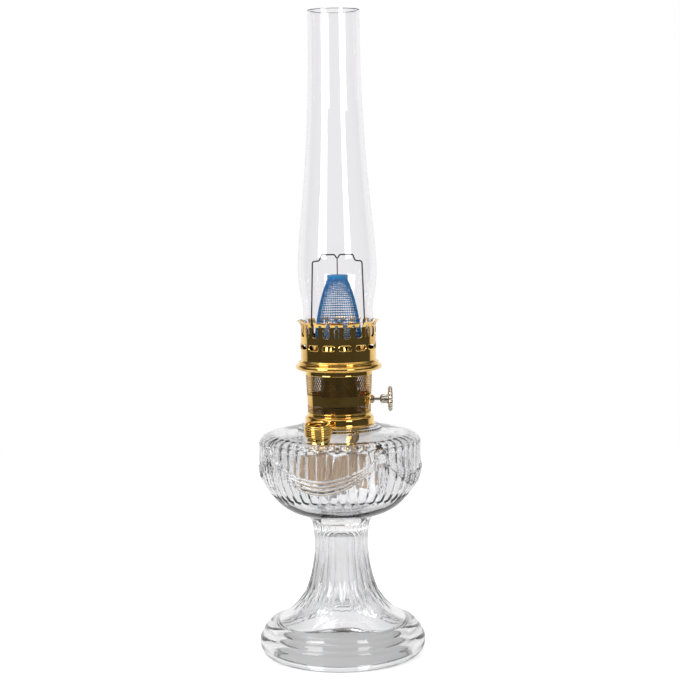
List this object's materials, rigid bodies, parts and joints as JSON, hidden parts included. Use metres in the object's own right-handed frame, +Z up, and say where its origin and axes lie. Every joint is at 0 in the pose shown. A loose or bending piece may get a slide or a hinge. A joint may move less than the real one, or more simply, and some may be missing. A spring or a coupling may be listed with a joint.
{
  "type": "glass oil lamp",
  "caption": "Tall pressed-glass oil lamp with a brass round-wick burner, a pronged gallery, a blue knitted mantle on its wire frame and a long clear chimney.",
  "frame": {"origin": "centre of the flat ring on which the glass foot rests", "axes": "+Z up along the lamp's axis, +X towards the wick knob, -Y towards the side with the oil filler"},
  "size_m": [0.1608, 0.1608, 0.6205],
  "materials": {
    "pressed_glass": "clear, fire polished",
    "chimney_glass": "clear, blown thin",
    "polished_brass": "polished, warm, slightly aged",
    "inner_brass": "dull, as drawn",
    "nickel": "nickel plated, worn to the brass",
    "steel_shaft": "drawn wire",
    "black_wire": "blackened wire, semi matt",
    "blue_mantle": "knitted open mesh, stiff",
    "cotton_wick": "woven cotton, raw",
    "cork": "pressed cork, matt"
  },
  "bodies": {
    "lamp": {"glass_foot": "pressed_glass", "glass_font": "pressed_glass", "font_collar": "polished_brass", "filler_neck": "polished_brass", "burner_base": "polished_brass", "burner_sleeve": "inner_brass", "burner_deck": "inner_brass", "burner_basket": "polished_brass", "basket_rim": "polished_brass", "outer_wick_tube": "inner_brass", "inner_wick_tube": "inner_brass", "air_ducts": "inner_brass", "spindle_tube": "inner_brass", "packing_nut": "nickel", "spindle_packing": "cork"},
    "knob": {"spindle": "steel_shaft", "raiser_pinion": "steel_shaft", "knob_hub": "nickel", "knob_wheel": "nickel"},
    "wick": {"wick": "cotton_wick", "wick_tails": "cotton_wick", "wick_carrier": "steel_shaft"},
    "spreader": {"flame_spreader": "nickel"},
    "gallery": {"gallery": "polished_brass", "gallery_flange": "polished_brass", "mantle_seat": "inner_brass"},
    "mantle": {"mantle_ring": "steel_shaft", "mantle_clips": "black_wire", "mantle_frame": "black_wire", "mantle_hanger": "black_wire", "mantle": "blue_mantle"},
    "chimney": {"chimney": "chimney_glass"},
    "gasket": {"filler_gasket": "cork"},
    "cap": {"filler_cap": "polished_brass"}
  },
  "joints": [
    {"name": "knob_turn", "type": "hinge", "parent": "lamp", "child": "knob", "pos_m": [0.04, 0, 0.2487], "axis": [1, 0, 0], "range_deg": [-43.2, 143.5]},
    {"name": "wick_raise", "type": "slide", "parent": "lamp", "child": "wick", "axis": [0, 0, 1], "range_m": [-0.01, 0.003]},
    {"name": "spreader_lift", "type": "slide", "parent": "lamp", "child": "spreader", "axis": [0, 0, 1], "range_m": [0, 0.02]},
    {"name": "gallery_lift", "type": "slide", "parent": "lamp", "child": "gallery", "axis": [0, 0, 1], "range_m": [0, 0.06]},
    {"name": "chimney_lift", "type": "slide", "parent": "gallery", "child": "chimney", "axis": [0, 0, 1], "range_m": [0, 0.04]},
    {"name": "mantle_turn", "type": "hinge", "parent": "gallery", "child": "mantle", "pos_m": [0, 0, 0.3093], "axis": [0, 0, 1], "range_deg": [0, 30]},
    {"name": "cap_lift", "type": "slide", "parent": "lamp", "child": "gasket", "axis": [-0.0538, -0.1284, 0.9903], "range_m": [0, 0.0063]},
    {"name": "cap_turn", "type": "hinge", "parent": "gasket", "child": "cap", "pos_m": [-0.0197, -0.047, 0.2184], "axis": [-0.0538, -0.1284, 0.9903], "range_deg": [0, 900]}
  ],
  "couplings": [
    {"joint": "knob_turn", "follows": "wick_raise", "rad_per_m": -250},
    {"joint": "cap_lift", "follows": "cap_turn", "m_per_rad": 0.00039789}
  ]
}
